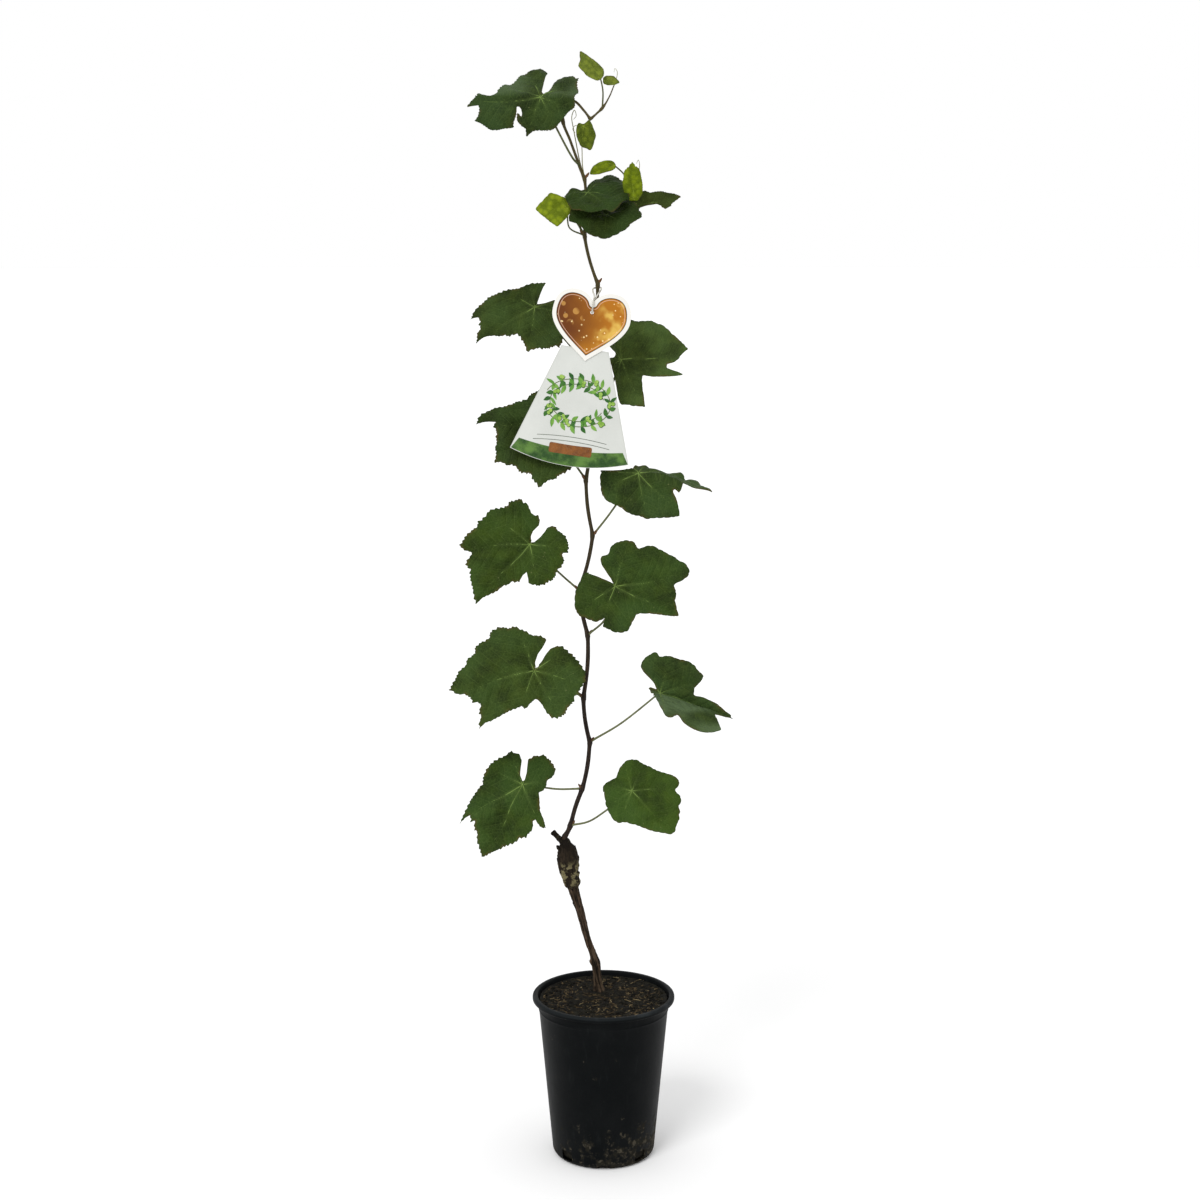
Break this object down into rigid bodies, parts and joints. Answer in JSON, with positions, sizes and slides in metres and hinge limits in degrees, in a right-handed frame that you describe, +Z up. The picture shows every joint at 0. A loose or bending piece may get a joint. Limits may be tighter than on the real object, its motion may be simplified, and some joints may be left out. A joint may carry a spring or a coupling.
{
  "type": "potted grapevine",
  "caption": "Young grapevine in a black nursery pot: grafted rootstock, one upright kinked shoot, lobed toothed leaves on long stalks and a hanging heart and fan label.",
  "frame": {"origin": "centre of the pot's flat underside, on the surface it stands on", "axes": "+Z up along the plant, -Y towards the front where the label hangs, +X to the right seen from the front"},
  "size_m": [0.3298, 0.17, 1.2968],
  "materials": {
    "pot": "black moulded plastic, slightly glossy",
    "soil": "damp dark potting compost with tan fibres",
    "old_wood": "dark ridged bark",
    "cane": "smooth brown-green shoot of the year",
    "stalk": "pale green to brown leaf stalk",
    "leaf": "matte mid-green blade, paler underneath",
    "young_leaf": "bright yellow-green young blade",
    "card": "matte printed card",
    "heart": "satin printed card",
    "string": "soft white string"
  },
  "bodies": {
    "root": {"pot": "pot", "soil": "soil", "trunk": "old_wood", "shoot_lower": "cane", "shoot_middle": "cane", "shoot_upper": "cane", "shoot_neck": "cane", "shoot_nod": "stalk", "shoot_tip": "stalk", "side_shoot": "stalk", "leaf_01": "leaf", "leaf_02": "leaf", "leaf_03": "leaf", "leaf_04": "leaf", "leaf_05": "leaf", "leaf_06": "leaf", "leaf_07": "leaf", "leaf_08": "leaf", "leaf_09": "leaf", "leaf_10": "leaf", "leaf_11": "leaf", "leaf_12": "leaf", "leaf_13": "leaf", "leaf_14": "leaf", "stalk_01": "stalk", "stalk_02": "stalk", "stalk_03": "stalk", "stalk_04": "stalk", "stalk_05": "stalk", "stalk_06": "stalk", "stalk_07": "stalk", "stalk_08": "stalk", "stalk_09": "stalk", "stalk_10": "stalk", "stalk_11": "stalk", "stalk_12": "stalk", "stalk_13": "stalk", "stalk_14": "stalk", "young_leaf_1": "young_leaf", "young_leaf_2": "young_leaf", "young_leaf_3": "young_leaf", "young_leaf_4": "young_leaf", "young_leaf_5": "young_leaf", "young_leaf_6": "young_leaf", "young_stalk_1": "stalk", "young_stalk_2": "stalk", "young_stalk_3": "stalk", "young_stalk_4": "stalk", "young_stalk_5": "stalk", "tag_heart": "heart", "tag_card": "card", "tag_string": "string"}
  },
  "joints": []
}
